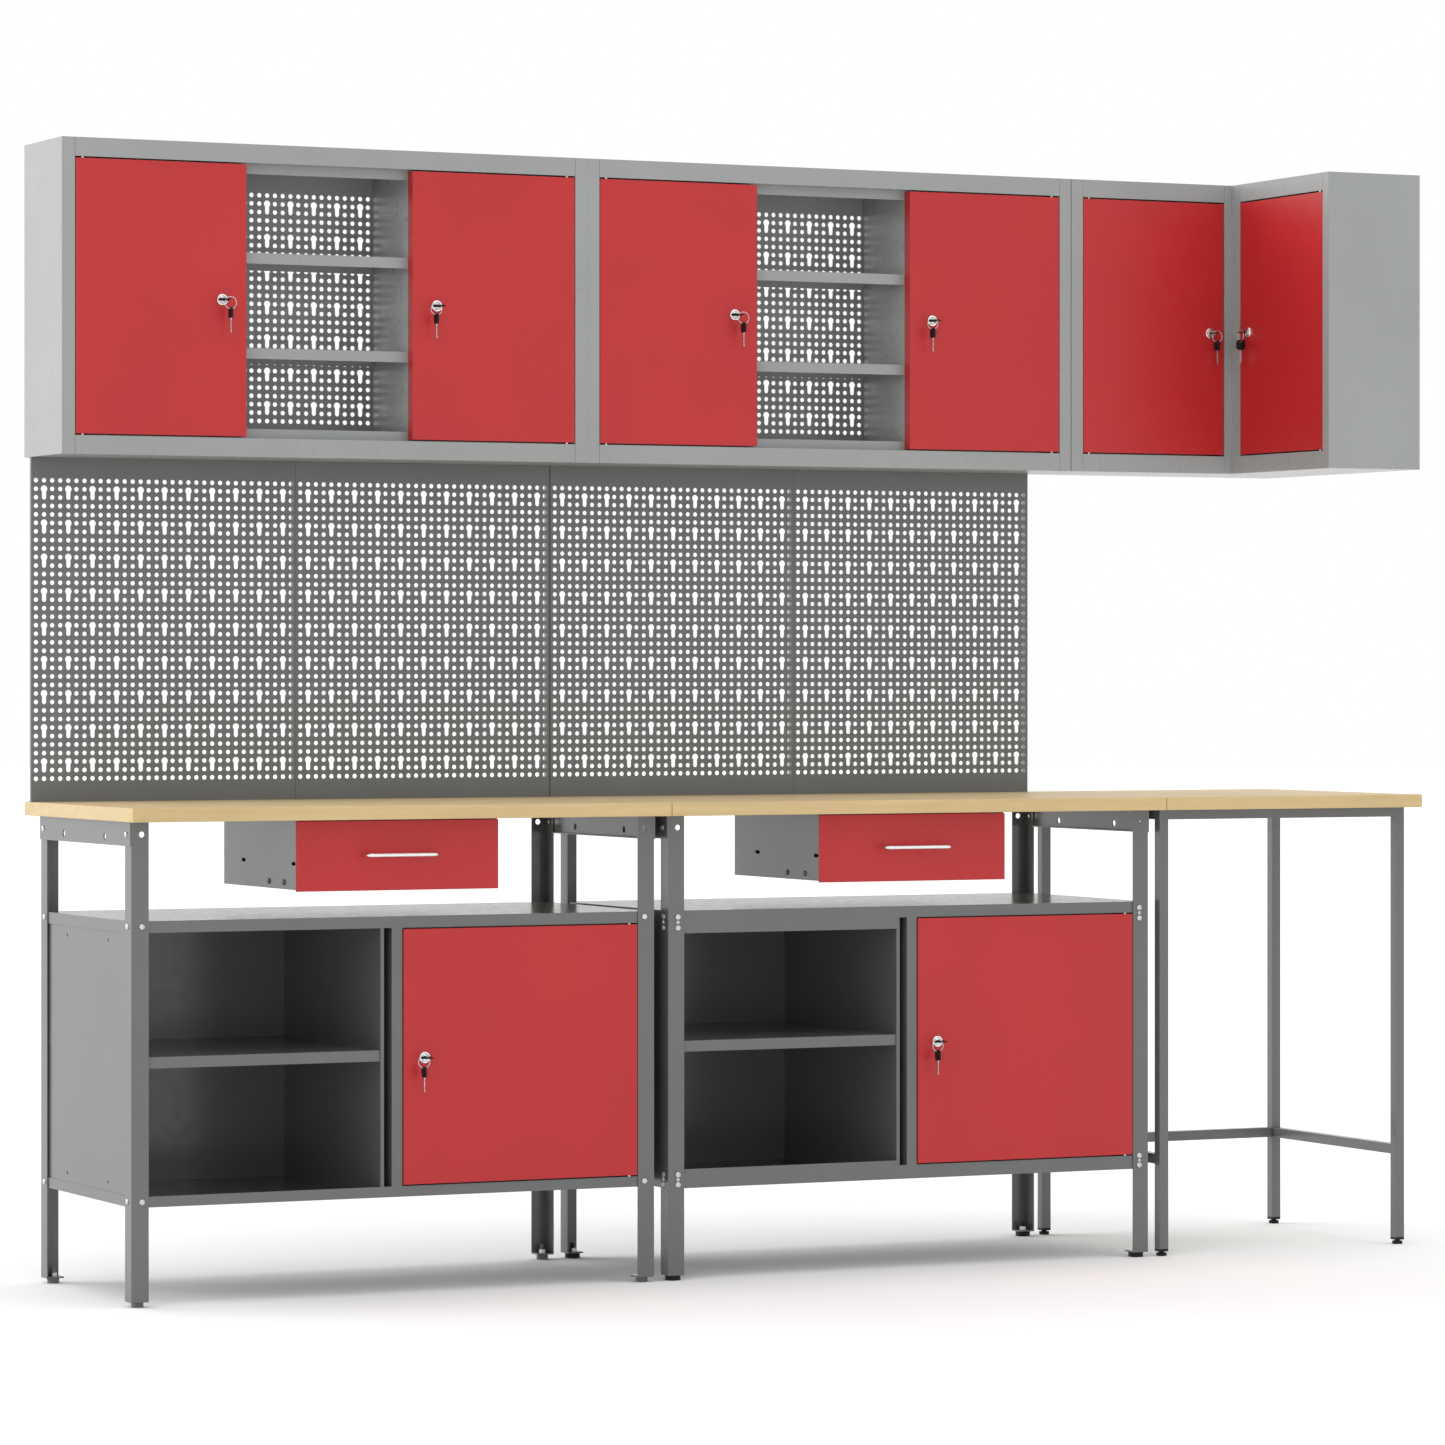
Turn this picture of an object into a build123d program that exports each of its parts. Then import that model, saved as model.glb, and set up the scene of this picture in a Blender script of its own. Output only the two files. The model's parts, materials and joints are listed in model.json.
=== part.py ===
from build123d import *
import os

# Workshop station: two drawer benches and a corner table under a perforated wall with wall cabinets.
# Millimetres. The origin is on the floor under the middle of the plan. +X runs to the right along the
# benches, +Y to the wall behind them and +Z up. The front faces -Y.

# Overall layout
bench_width = 1090
corner_size = 600
worktop_depth = 610
worktop_height = 920
worktop_thickness = 26
panel_height = 662
wall_cabinet_height = 600
wall_cabinet_depth = 218
arm_depth = 217
board_gap = 1
cabinet_gap = 1.5
seam = 0.5

total_width = 2 * bench_width + corner_size
rear_y = worktop_depth / 2
front_y = -rear_y
left_bench_x = -total_width / 2
middle_bench_x = left_bench_x + bench_width
corner_x = middle_bench_x + bench_width
right_x = total_width / 2
underside = worktop_height - worktop_thickness

# Sheet steel
sheet = 2.0
running_clearance = 0.05

# Bench frame
frame_front = front_y + 50
frame_rear = rear_y - 55
leg_inset = 15
leg_width = 34
leg_wall = 2.5
leg_bottom = 10
leg_hole_offset = 20.5
leg_hole_z = 870.6
leg_hole_radius = 5.5
foot_tab = 3
foot_offset = 18
stud_radius = 4
stud_top = 29
nut_across = 14
nut_height = 6.5
rail_height = 45
rail_hole_z = 864
rail_hole_radius = 6.5
rail_hole_inset = 138
rail_lip = 20
bolt_radius = 3
bolt_head_radius = 5.5
bolt_head_height = 3.2
bolt_dome = 2.4
socket_radius = 2.2
socket_depth = 1.6
bolt_hole_radius = 3.2
small_head_radius = 3.9
small_levels = (688.5, 194)

# Base cabinet under each bench, measured from the bench's left end
cabinet_front = frame_front + leg_wall
cabinet_rear = frame_rear - leg_wall
cabinet_left = leg_inset + leg_wall
cabinet_right = bench_width - cabinet_left
cabinet_top = 711
tray_flange = 22
door_sill = 204
bay_wall_x = 511
bay_hem = 7
locker_wall_x = 533
locker_stile = 21.5
base_shelf_top = 460
shelf_lip = 21
side_hole_levels = (671, 221)

# Doors
door_gap = 1.5
door_end_gap = 3
door_thickness = 24
door_wall = 1.5
hinge_inset = 15
hinge_depth = 5
pin_radius = 3
pin_length = 15
base_door_left = 556
base_door_right = bench_width - leg_inset - leg_width - door_gap
base_door_low = 206.5
base_door_high = 686.5
base_lock_inset = 42
base_lock_z = 444.5

# Wall cabinet, measured from its left end
wall_low = worktop_height + panel_height
wall_high = wall_low + wall_cabinet_height
wall_front = rear_y - wall_cabinet_depth
stile_width = 26
rail_width = 36
stop_lip = 19
door_face = 0.5
stop_y = 25
stop_end = 34
stop_low = wall_low + rail_width + stop_lip
stop_high = wall_high - rail_width - stop_lip
wall_door_width = 345
wall_door_start = stile_width + door_gap
wall_door_low = wall_low + rail_width + door_end_gap
wall_door_high = wall_high - rail_width - door_end_gap
divider_flange = 17
bay_back_depth = 209
wall_shelf_tops = (1793, 1976)
stile_return = 20
fixing_drop = 70
fixing_radius = 5
wall_lock_inset = 50
wall_lock_z = 1882

# Corner wall cabinet
corner_front_x = corner_x + corner_size - arm_depth
corner_end_y = rear_y - corner_size
corner_door_left = 30
corner_door_right = 364
arm_door_low_y = corner_end_y + 25
arm_door_high_y = 52
corner_lock_inset = 33
corner_stop = 14
corner_lock_z = 1873
corner_fixings = (150, 450)

# Drawer, measured from the bench's left end
drawer_front_left = 340
drawer_front_right = 750
drawer_front_low = 760
drawer_front_high = 891
drawer_face = frame_front + 1
drawer_face_thickness = 3
housing_left = 341
housing_right = 749
housing_low = 763
housing_front = drawer_face + drawer_face_thickness + 0.5
housing_rear = 125
slot_length = 20
slot_height = 6.5
slot_offsets = (12.5, 271)
slot_z = 812
runner_low = 768
runner_high = 798
fixed_runner = 5.5
moving_runner = 6.5
runner_gap = 0.5
runner_bolt_offsets = (61, 138)
runner_bolt_z = 776
runner_bolt_grip = 4.5
box_low = 767
box_high = 868
box_rear = 100
box_wall = 1.5
handle_length = 150
handle_standoff = 28
handle_radius = 4
handle_z = 827
handle_bend = 10

# Corner table
tube = 20
tube_wall = 1.5
tube_inset = 12
tube_bottom = 14
stretcher_low = 184
plug_cap = 5
plug_insert = 22
plug_play = 0.4
corner_pad_radius = 10.5
corner_pad_height = 6.5
corner_stud_top = 36

# Lock, measured from its axis on the door's outer face
rosette_radius = 11.3
rosette_height = 4.5
barrel_radius = 9
plug_radius = 7
plug_proud = 5
barrel_tail = 27
nut_radius = 12
cam_start = 28
cam_thickness = 3
cam_length = 42
cam_half_width = 7
cam_screw_radius = 2
cam_screw_start = 22
cam_screw_head_radius = 4
cam_screw_head = 2.5
key_blade_width = 7
key_blade_thickness = 2
key_tip = 19
key_play = 0.1
key_neck_end = 8
key_end = 28.5
key_head_half = 10
key_head_thickness = 1.8
spare_head_thickness = 3.6
key_shoulder_thickness = 4.5
key_hole_margin = 2.3
key_hole_radius = 4.1
ring_radius = 11.6
ring_wire = 0.7
ring_drop = 6.8
ring_shift = 9.4
ring_stand = 22.3
corner_ring_stand = 14
corner_key_end = 23.5
spare_blade_length = 29
spare_hole_radius = 2.5
spare_hole_edge = 4
spare_hole_play = 1.2

# Perforated wall panels
panel_depth = 36
panel_sheet = 1.5
panel_margin = 1.25
panel_gap = 0.5
panel_right_fold = 22
panel_left_fold = 8
panel_end_fold = 20
panel_width = (bench_width - 2 * panel_margin - panel_gap) / 2


def block(x0, x1, y0, y1, z0, z1):
    """Box between two opposite corners, given in any order."""
    middle = Pos((x0 + x1) / 2, (y0 + y1) / 2, (z0 + z1) / 2)
    return middle * Box(abs(x1 - x0), abs(y1 - y0), abs(z1 - z0))


def rod_x(x0, x1, y, z, radius):
    """Cylinder along X from x0 to x1."""
    return Pos((x0 + x1) / 2, y, z) * Rot(0, 90, 0) * Cylinder(radius, abs(x1 - x0))


def rod_y(x, y0, y1, z, radius):
    """Cylinder along Y from y0 to y1."""
    return Pos(x, (y0 + y1) / 2, z) * Rot(90, 0, 0) * Cylinder(radius, abs(y1 - y0))


def rod_z(x, y, z0, z1, radius):
    """Cylinder along Z from z0 to z1."""
    return Pos(x, y, (z0 + z1) / 2) * Cylinder(radius, abs(z1 - z0))


def save(node, pieces):
    """Write one node's separate solids to its STEP file."""
    solids = [solid for piece in pieces for solid in piece.solids()]
    shape = solids[0] if len(solids) == 1 else Compound(solids)
    export_step(shape, f"parts/{node}.step")


def worktop(x0, x1):
    """Laminated board with eased edges."""
    board = block(x0, x1, front_y, rear_y, underside, worktop_height)
    return fillet(board.edges(), 1.5)


def bench_corners(bench_x):
    """The four leg corners of a bench, each with the signs that point into the bench."""
    left = bench_x + leg_inset
    right = bench_x + bench_width - leg_inset
    return [
        (left, frame_front, 1, 1),
        (right, frame_front, -1, 1),
        (left, frame_rear, 1, -1),
        (right, frame_rear, -1, -1),
    ]


def bench_leg(x, y, into_x, into_y, bolt_levels):
    """Angle leg whose outer corner stands at x, y, with a foot tab, holes and bolt holes."""
    side = block(x, x + into_x * leg_wall, y, y + into_y * leg_width, leg_bottom, underside)
    face = block(x, x + into_x * leg_width, y, y + into_y * leg_wall, leg_bottom, underside)
    tab_top = leg_bottom + foot_tab
    tab = block(x, x + into_x * leg_width, y, y + into_y * leg_width, leg_bottom, tab_top)
    leg = side + face + tab
    hole_x = x + into_x * leg_hole_offset
    hole_y = y + into_y * leg_hole_offset
    leg -= rod_y(hole_x, y - 5, y + 5, leg_hole_z, leg_hole_radius)
    leg -= rod_x(x - 5, x + 5, hole_y, leg_hole_z, bolt_hole_radius)
    leg -= rod_z(x + into_x * foot_offset, y + into_y * foot_offset, 0, 20, stud_radius + running_clearance)
    for level in bolt_levels:
        leg -= rod_x(x - 5, x + 5, hole_y, level, bolt_hole_radius)
        if into_y > 0:
            leg -= rod_y(hole_x, y - 5, y + 5, level, bolt_hole_radius)
    return leg


def bolt(grip, head_radius=bolt_head_radius):
    """Button-head bolt along Z: the head stands on z = 0 and the shank reaches down by the grip."""
    head = rod_z(0, 0, 0, bolt_head_height, head_radius)
    head = fillet(head.edges().group_by(Axis.Z)[-1], bolt_dome)
    socket = Pos(0, 0, bolt_head_height - socket_depth) * extrude(RegularPolygon(socket_radius, 6), socket_depth)
    return head - socket + rod_z(0, 0, -grip, 0, bolt_radius)


def bolt_x(x, y, z, outward, grip):
    """Button-head bolt along X whose head stands on the outer face at x."""
    head_radius = small_head_radius if z in small_levels else bolt_head_radius
    return Pos(x, y, z) * Rot(0, outward * 90, 0) * bolt(grip, head_radius)


def bolt_y(x, y, z, grip):
    """Button-head bolt along Y whose head stands on the front face at y."""
    head_radius = small_head_radius if z in small_levels else bolt_head_radius
    return Pos(x, y, z) * Rot(90, 0, 0) * bolt(grip, head_radius)


def weld_nut(x, y):
    """Hexagon nut on a leg's foot tab."""
    low = leg_bottom + foot_tab
    body = Pos(x, y, low) * extrude(RegularPolygon(nut_across / 2, 6), nut_height)
    return body - rod_z(x, y, low - 1, low + nut_height + 1, stud_radius + running_clearance)


def side_rail(bench_x, side):
    """Rail outside the legs on one side (-1 left, 1 right) that carries the worktop."""
    outer = bench_x + bench_width / 2 + side * (bench_width / 2 - leg_inset + leg_wall)
    inner = outer - side * leg_wall
    low = underside - rail_height
    web = block(outer, inner, frame_front, frame_rear, low, underside)
    lip_front = frame_front + leg_width + 2
    lip_rear = frame_rear - leg_width - 2
    top_lip = block(outer, inner - side * rail_lip, lip_front, lip_rear, underside - leg_wall, underside)
    low_lip = block(outer, inner - side * rail_lip / 2, lip_front, lip_rear, low, low + leg_wall)
    rail = web + top_lip + low_lip
    for y in (frame_front + rail_hole_inset, frame_rear - rail_hole_inset):
        rail -= rod_x(outer - 5, outer + 5, y, rail_hole_z, rail_hole_radius)
    for y in (frame_front + leg_hole_offset, frame_rear - leg_hole_offset):
        rail -= rod_x(outer - 5, outer + 5, y, leg_hole_z, bolt_hole_radius)
    return rail


def frame_fasteners(bench_x, bolt_levels):
    """Rail screws, cabinet bolts and foot nuts of one bench."""
    pieces = []
    for x, y, into_x, into_y in bench_corners(bench_x):
        side_y = y + into_y * leg_hole_offset
        pieces.append(bolt_x(x - into_x * leg_wall, side_y, leg_hole_z, -into_x, 8))
        for level in bolt_levels:
            pieces.append(bolt_x(x, side_y, level, -into_x, 9))
            if into_y > 0:
                pieces.append(bolt_y(x + into_x * leg_hole_offset, y, level, 9))
        pieces.append(weld_nut(x + into_x * foot_offset, y + into_y * foot_offset))
    return pieces


def tray(x0, x1, y0, y1, plate_z, edge_z, front_edge_z):
    """Folded cabinet top or bottom: a plate with four flanges that reach to edge_z."""
    up = 1 if edge_z > plate_z else -1
    shape = block(x0, x1, y0, y1, plate_z, plate_z + up * sheet)
    shape += block(x0, x0 + sheet, y0, y1, plate_z, edge_z)
    shape += block(x1 - sheet, x1, y0, y1, plate_z, edge_z)
    shape += block(x0, x1, y1 - sheet, y1, plate_z, edge_z)
    shape += block(x0, x1, y0, y0 + sheet, plate_z, front_edge_z)
    return shape


def base_cabinet(bench_x, low, bolt_levels, bay_rail_low, bay_sill):
    """Cabinet between a bench's legs: trays, side panels, back, bay wall, locker wall and stops."""
    x0 = bench_x + cabinet_left
    x1 = bench_x + cabinet_right
    inner_low = low + sheet
    inner_high = cabinet_top - sheet
    top = tray(x0, x1, cabinet_front, cabinet_rear, cabinet_top, cabinet_top - tray_flange,
               cabinet_top - tray_flange)
    bottom = tray(x0, x1, cabinet_front, cabinet_rear, low, door_sill, door_sill)
    wall_front_y = cabinet_front + sheet
    wall_rear_y = cabinet_rear - sheet
    left = block(x0 + sheet, x0 + 2 * sheet, wall_front_y, wall_rear_y, inner_low, inner_high)
    right = block(x1 - sheet, x1 - 2 * sheet, wall_front_y, wall_rear_y, inner_low, inner_high)
    for y in (frame_front + rail_hole_inset, frame_rear - rail_hole_inset):
        for level in side_hole_levels:
            left -= rod_x(x0, x0 + 10, y, level, 3)
            right -= rod_x(x1 - 10, x1, y, level, 3)
    for x, y, into_x, into_y in bench_corners(bench_x):
        side_y = y + into_y * leg_hole_offset
        for level in bolt_levels:
            side_hole = rod_x(x - 1, x + into_x * 12, side_y, level, bolt_hole_radius)
            front_hole = rod_y(x + into_x * leg_hole_offset, y - 1, y + into_y * 12, level, bolt_hole_radius)
            top -= side_hole
            top -= front_hole
            bottom -= side_hole
            bottom -= front_hole
            left -= side_hole
            right -= side_hole
    back = block(x0 + 2 * sheet, x1 - 2 * sheet, wall_rear_y - sheet, wall_rear_y, inner_low, inner_high)
    bay_x = bench_x + bay_wall_x
    bay_wall = block(bay_x, bay_x + sheet, wall_front_y, wall_rear_y - sheet, inner_low, inner_high)
    bay_wall += block(bay_x, bay_x + bay_hem, wall_front_y, wall_front_y + 20, inner_low, inner_high)
    locker_x = bench_x + locker_wall_x
    stile_right = locker_x + locker_stile
    locker = block(locker_x, locker_x + sheet, wall_front_y, wall_rear_y - sheet, inner_low, inner_high)
    locker += block(locker_x, stile_right, wall_front_y, wall_front_y + sheet, inner_low, inner_high)
    stile_front = block(locker_x, stile_right, cabinet_front, wall_front_y, door_sill, cabinet_top - tray_flange)
    locker += stile_front
    stop_front = frame_front + door_thickness + 1
    stop_left = stile_right + 12
    stop_right = bench_x + base_door_right - stop_end
    high_stop = block(stop_left, stop_right, stop_front, stop_front + sheet, base_door_high - 15, inner_high)
    low_stop = block(stop_left, stop_right, stop_front, stop_front + sheet, inner_low, base_door_low + 15)
    side_stop = block(locker_x + sheet, stop_left, stop_front, stop_front + sheet, inner_low, inner_high)
    pieces = [top, bottom, left, right, back, bay_wall, locker, high_stop, low_stop, side_stop]
    bay_left = bench_x + leg_inset + leg_width
    if bay_rail_low < cabinet_top - tray_flange:
        pieces.append(block(bay_left, bay_x, cabinet_front, wall_front_y, bay_rail_low, cabinet_top - tray_flange))
        pieces.append(block(bay_left, bay_x, cabinet_front, wall_front_y, door_sill, bay_sill))
    return pieces


def folded_shelf(x0, x1, y0, y1, top):
    """Shelf with a lip turned down at the front and the back."""
    shelf = block(x0, x1, y0, y1, top - sheet, top)
    shelf += block(x0, x1, y0, y0 + sheet, top - shelf_lip, top)
    shelf += block(x0, x1, y1 - sheet, y1, top - shelf_lip, top)
    return shelf


def base_shelf(bench_x):
    """Shelf in the open bay of a base cabinet."""
    left = bench_x + cabinet_left + 2 * sheet
    return folded_shelf(left, bench_x + bay_wall_x, cabinet_front + 5, cabinet_rear - 2 * sheet, base_shelf_top)


def door_pan(x0, x1, z0, z1, pin_x):
    """Door in its own frame: outer face on y = 0, inner face on y = door_thickness."""
    pan = block(x0, x1, 0, door_thickness, z0, z1)
    pan -= block(x0 + door_wall, x1 - door_wall, door_wall, door_thickness + 1, z0 + door_wall, z1 - door_wall)
    pan -= rod_z(pin_x, hinge_depth, z0 - 1, z1 + 1, pin_radius + running_clearance)
    return pan


def door_liner(x0, x1, z0, z1):
    """Flat inner skin that closes the back of a door pan."""
    inset = door_wall
    return block(x0 + inset, x1 - inset, door_thickness - door_wall, door_thickness, z0 + inset, z1 - inset)


def door(x0, x1, z0, z1, pin_x, lock_x, lock_z):
    """Door pan and liner with the lock's hole through both."""
    hole = rod_y(lock_x, -1, door_thickness + 1, lock_z, barrel_radius + running_clearance)
    return [door_pan(x0, x1, z0, z1, pin_x) - hole, door_liner(x0, x1, z0, z1) - hole]


def lock_body(side, stand=ring_stand):
    """Fixed part of a lock: rosette and barrel, nut, and the ring whose spare key hangs towards a side."""
    barrel = rod_y(0, -rosette_height, 0, 0, rosette_radius) + rod_y(0, 0, barrel_tail, 0, barrel_radius)
    barrel -= rod_y(0, -rosette_height - 1, barrel_tail + 1, 0, plug_radius + running_clearance)
    nut = rod_y(0, door_thickness, barrel_tail, 0, nut_radius)
    nut -= rod_y(0, door_thickness - 1, barrel_tail + 1, 0, barrel_radius + running_clearance)
    ring = Pos(side * ring_shift, -stand, -ring_drop) * Rot(90, 0, 0) * Torus(ring_radius, ring_wire)
    return [barrel, nut, ring, spare_key(side * ring_shift, -stand)]


def spare_key(x, y):
    """Key that hangs on the ring, with its plate square to the door."""
    hole_z = -(ring_drop + ring_radius) - spare_hole_play
    head_top = hole_z + spare_hole_edge
    head_low = head_top - (key_end - key_neck_end)
    half = spare_head_thickness / 2
    head = block(x - half, x + half, y - key_head_half, y + key_head_half, head_low, head_top)
    half = key_blade_thickness / 2
    across = key_blade_width / 2
    blade = block(x - half, x + half, y - across, y + across, head_low - spare_blade_length, head_low)
    return head + blade - rod_x(x - 5, x + 5, y, hole_z, spare_hole_radius)


def lock_plug(stand=ring_stand, end=key_end):
    """Turning part of a lock: plug with the key in it, and the cam with its screw."""
    half_width = key_blade_width / 2
    half_blade = key_blade_thickness / 2
    screw_hole = cam_screw_radius + running_clearance
    plug = rod_y(0, -plug_proud, cam_start, 0, plug_radius)
    slot_width = half_width + key_play
    slot_height_half = half_blade + key_play
    plug -= block(-slot_width, slot_width, -plug_proud - 1, key_tip + 1, -slot_height_half, slot_height_half)
    plug -= rod_y(0, cam_screw_start - 1, cam_start + 1, 0, screw_hole)
    half_head = key_head_thickness / 2
    blade = block(-half_width, half_width, -key_neck_end, key_tip, -half_blade, half_blade)
    head = block(-key_head_half, key_head_half, -end, -key_neck_end, -half_head, half_head)
    head -= rod_z(0, -stand, -5, 5, key_hole_radius)
    shoulder = stand - key_hole_radius - key_hole_margin
    if shoulder > key_neck_end:
        half = key_shoulder_thickness / 2
        head += block(-key_head_half, key_head_half, -shoulder, -key_neck_end, -half, half)
    cam_end = cam_start + cam_thickness
    cam = block(-cam_half_width, cam_half_width, cam_start, cam_end, -cam_half_width, cam_length)
    cam -= rod_y(0, cam_start - 1, cam_end + 1, 0, screw_hole)
    screw = rod_y(0, cam_screw_start, cam_end, 0, cam_screw_radius)
    screw += rod_y(0, cam_end, cam_end + cam_screw_head, 0, cam_screw_head_radius)
    return [plug, head + blade, cam, screw]


def placed(location, pieces):
    """The pieces moved to a location."""
    return [location * piece for piece in pieces]


def hinge_pins(x, y, low, high):
    """Two pivot pins that reach down and up into a door between the levels low and high."""
    return [rod_z(x, y, low, low + pin_length, pin_radius), rod_z(x, y, high - pin_length, high, pin_radius)]


def base_hinge_plates(x, y, low, high):
    """Plates inside a base cabinet that carry the pivot pins."""
    rear = y + 18
    front = cabinet_front + sheet
    right = x + hinge_inset + door_gap
    return [block(x - 10, right, front, rear, low - 3, low), block(x - 10, right, front, rear, high, high + 3)]


def rail_member(x0, x1, y0, outer_z, inner_z, tip_z):
    """Cabinet rail: a front strip, a return behind it and a stop lip for the doors."""
    back = 1 if inner_z > outer_z else -1
    member = block(x0, x1, y0, y0 + sheet, outer_z, inner_z)
    member += block(x0, x1, y0, y0 + stop_y + sheet, inner_z - back * sheet, inner_z)
    member += block(x0 + stop_end, x1 - stop_end, y0 + stop_y, y0 + stop_y + sheet, inner_z - back * sheet, tip_z)
    return member


def wall_side(x, into):
    """Side panel of a wall cabinet with its stile, whose outer face is at x."""
    panel = block(x, x + into * sheet, wall_front, rear_y, wall_low, wall_high)
    panel += block(x, x + into * stile_width, wall_front, wall_front + sheet, wall_low, wall_high)
    inner = x + into * stile_width
    return_low = wall_low + sheet
    return_high = wall_high - sheet
    panel += block(inner, inner - into * sheet, wall_front, wall_front + stile_return, return_low, return_high)
    return panel


def wall_divider(x, into):
    """Wall between the open bay and a door's compartment, and the stop strip on its front edge."""
    strip_y = wall_front + stop_y
    divider = block(x, x + into * sheet, strip_y + sheet, rear_y - sheet, wall_low + sheet, wall_high - sheet)
    strip = block(x, x + into * divider_flange, strip_y, strip_y + sheet, stop_low, stop_high)
    return [divider, strip]


def wall_rails(x0, x1, y0):
    """Bottom and top rail members between two stiles."""
    low = rail_member(x0, x1, y0, wall_low, wall_low + rail_width, wall_low + rail_width + stop_lip)
    high = rail_member(x0, x1, y0, wall_high, wall_high - rail_width, wall_high - rail_width - stop_lip)
    return [low, high]


def wall_cabinet(x):
    """Wall cabinet carcass from its left end x: sides, rails, top, bottom, dividers and side backs."""
    end = x + bench_width
    pieces = [wall_side(x, 1), wall_side(end, -1)]
    pieces += wall_rails(x + stile_width + seam, end - stile_width - seam, wall_front)
    for low, high in ((wall_low, wall_low + sheet), (wall_high - sheet, wall_high)):
        pieces.append(block(x + sheet, end - sheet, wall_front + sheet, rear_y, low, high))
    bay_left = x + wall_door_start + wall_door_width
    bay_right = end - wall_door_start - wall_door_width
    pieces += wall_divider(bay_left, -1) + wall_divider(bay_right, 1)
    for left, right in ((x + sheet, bay_left - sheet), (bay_right + sheet, end - sheet)):
        back = block(left, right, rear_y - sheet, rear_y, wall_low + sheet, wall_high - sheet)
        hole_x = (left + right) / 2
        pieces.append(back - rod_y(hole_x, rear_y - 5, rear_y + 5, wall_high - fixing_drop, fixing_radius))
    return pieces


def bay_back(x):
    """Sheet behind the open bay of a wall cabinet."""
    left = x + wall_door_start + wall_door_width
    right = x + bench_width - wall_door_start - wall_door_width
    y = wall_front + bay_back_depth
    return block(left, right, y, y + panel_sheet, wall_low + sheet, wall_high - sheet)


def bay_shelves(x):
    """Two shelves in the open bay of a wall cabinet."""
    left = x + wall_door_start + wall_door_width
    right = x + bench_width - wall_door_start - wall_door_width
    y0 = wall_front + stop_y + sheet
    y1 = wall_front + bay_back_depth
    return [folded_shelf(left, right, y0, y1, top) for top in wall_shelf_tops]


def perforated_panel(x):
    """Wall panel from its left edge x, folded back at all four edges."""
    y = rear_y - panel_depth
    end = x + panel_width
    panel = block(x, end, y, y + panel_sheet, worktop_height, wall_low)
    panel += block(end - panel_sheet, end, y, y + panel_right_fold, worktop_height, wall_low)
    panel += block(x, x + panel_sheet, y, y + panel_left_fold, worktop_height, wall_low)
    panel += block(x, end, y, y + panel_end_fold, worktop_height, worktop_height + panel_sheet)
    panel += block(x, end, y, y + panel_end_fold, wall_low - panel_sheet, wall_low)
    return panel


def slot_x(x0, x1, y, z):
    """Level slot through a plate, along X."""
    reach = (slot_length - slot_height) / 2
    slot = block(x0, x1, y - reach, y + reach, z - slot_height / 2, z + slot_height / 2)
    for end in (y - reach, y + reach):
        slot += rod_x(x0, x1, end, z, slot_height / 2)
    return slot


def drawer_housing(bench_x):
    """Housing under a worktop: two side plates, top, rear plate and the fixed runners."""
    left = bench_x + housing_left
    right = bench_x + housing_right
    top = block(left, right, housing_front, housing_rear, underside - sheet, underside)
    rear = block(left + sheet, right - sheet, housing_rear - sheet, housing_rear, housing_low, underside - sheet)
    pieces = [top, rear]
    for x, into in ((left, 1), (right, -1)):
        side = block(x, x + into * sheet, housing_front, housing_rear, housing_low, underside - sheet)
        for offset in slot_offsets:
            side -= slot_x(x - into, x + into * 4, housing_front + offset, slot_z)
        runner_x = x + into * sheet
        runner = block(runner_x, runner_x + into * fixed_runner, housing_front + 6, 100, runner_low, runner_high)
        for offset in runner_bolt_offsets:
            y = housing_front + offset
            hole = rod_x(x - into, x + into * 5, y, runner_bolt_z, bolt_hole_radius)
            side -= hole
            runner -= hole
            pieces.append(bolt_x(x, y, runner_bolt_z, -into, runner_bolt_grip))
        pieces += [side, runner]
    return pieces


def drawer_box(bench_x):
    """Open steel box with the moving runners on its sides."""
    offset = sheet + fixed_runner + runner_gap + moving_runner
    left = bench_x + housing_left + offset
    right = bench_x + housing_right - offset
    front = drawer_face + drawer_face_thickness
    box = block(left, right, front, box_rear, box_low, box_high)
    box -= block(left + box_wall, right - box_wall, front + box_wall, box_rear - box_wall,
                 box_low + box_wall, box_high + 1)
    runners = []
    for x, outward in ((left, -1), (right, 1)):
        runners.append(block(x, x + outward * moving_runner, front + 2, box_rear, runner_low + 2, runner_high - 2))
    return [box] + runners


def drawer_front(bench_x):
    """Flat drawer front."""
    return block(bench_x + drawer_front_left, bench_x + drawer_front_right, drawer_face,
                 drawer_face + drawer_face_thickness, drawer_front_low, drawer_front_high)


def drawer_handle(bench_x):
    """Bow handle bent from round bar."""
    middle = bench_x + (drawer_front_left + drawer_front_right) / 2
    left = middle - handle_length / 2 + handle_radius
    right = middle + handle_length / 2 - handle_radius
    bow_y = drawer_face - handle_standoff
    path = FilletPolyline(
        (left, drawer_face, handle_z),
        (left, bow_y, handle_z),
        (right, bow_y, handle_z),
        (right, drawer_face, handle_z),
        radius=handle_bend,
    )
    section = Plane(origin=(left, drawer_face, handle_z), z_dir=(0, -1, 0)) * Circle(handle_radius)
    return sweep(section, path)


def levelling_foot(x, y, pad_radius, pad_height, stop_z, stud_end):
    """Foot pad with a stud; its shoulder meets the leg at stop_z."""
    pad = rod_z(x, y, 0, pad_height, pad_radius)
    pad = fillet(pad.edges(), 1.5)
    foot = pad + rod_z(x, y, pad_height, stud_end, stud_radius)
    if stop_z > pad_height:
        foot += rod_z(x, y, pad_height, stop_z, 5.5)
    return foot


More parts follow.
